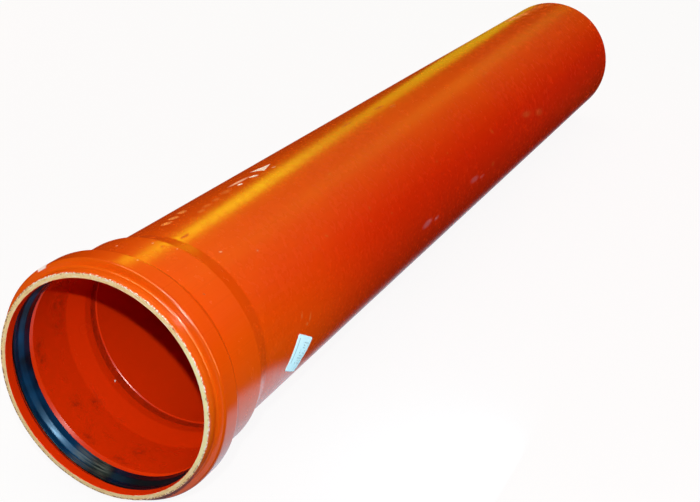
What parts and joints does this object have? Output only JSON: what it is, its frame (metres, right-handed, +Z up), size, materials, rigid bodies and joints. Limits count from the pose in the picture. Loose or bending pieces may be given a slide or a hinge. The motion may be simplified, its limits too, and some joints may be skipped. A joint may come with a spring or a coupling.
{
  "type": "drain pipe",
  "caption": "Orange plastic drain pipe with a push-fit socket and rubber sealing ring at one end and a chamfered spigot at the other.",
  "frame": {"origin": "middle of the pipe's length and width, on the floor it lies on", "axes": "+Y runs along the pipe from the socket mouth to the spigot end, +Z is up; the pipe lies on the bead of its socket and on the spigot's edge, so its axis dips 0.6 degrees toward the spigot"},
  "size_m": [0.1822, 1.0876, 0.1823],
  "materials": {
    "pipe_plastic": "smooth extruded gloss",
    "ring_rubber": "moulded, lightly greased",
    "label_film": "blank self-adhesive film"
  },
  "bodies": {
    "root": {"pipe": "pipe_plastic", "sealing_ring": "ring_rubber", "label": "label_film"}
  },
  "joints": []
}
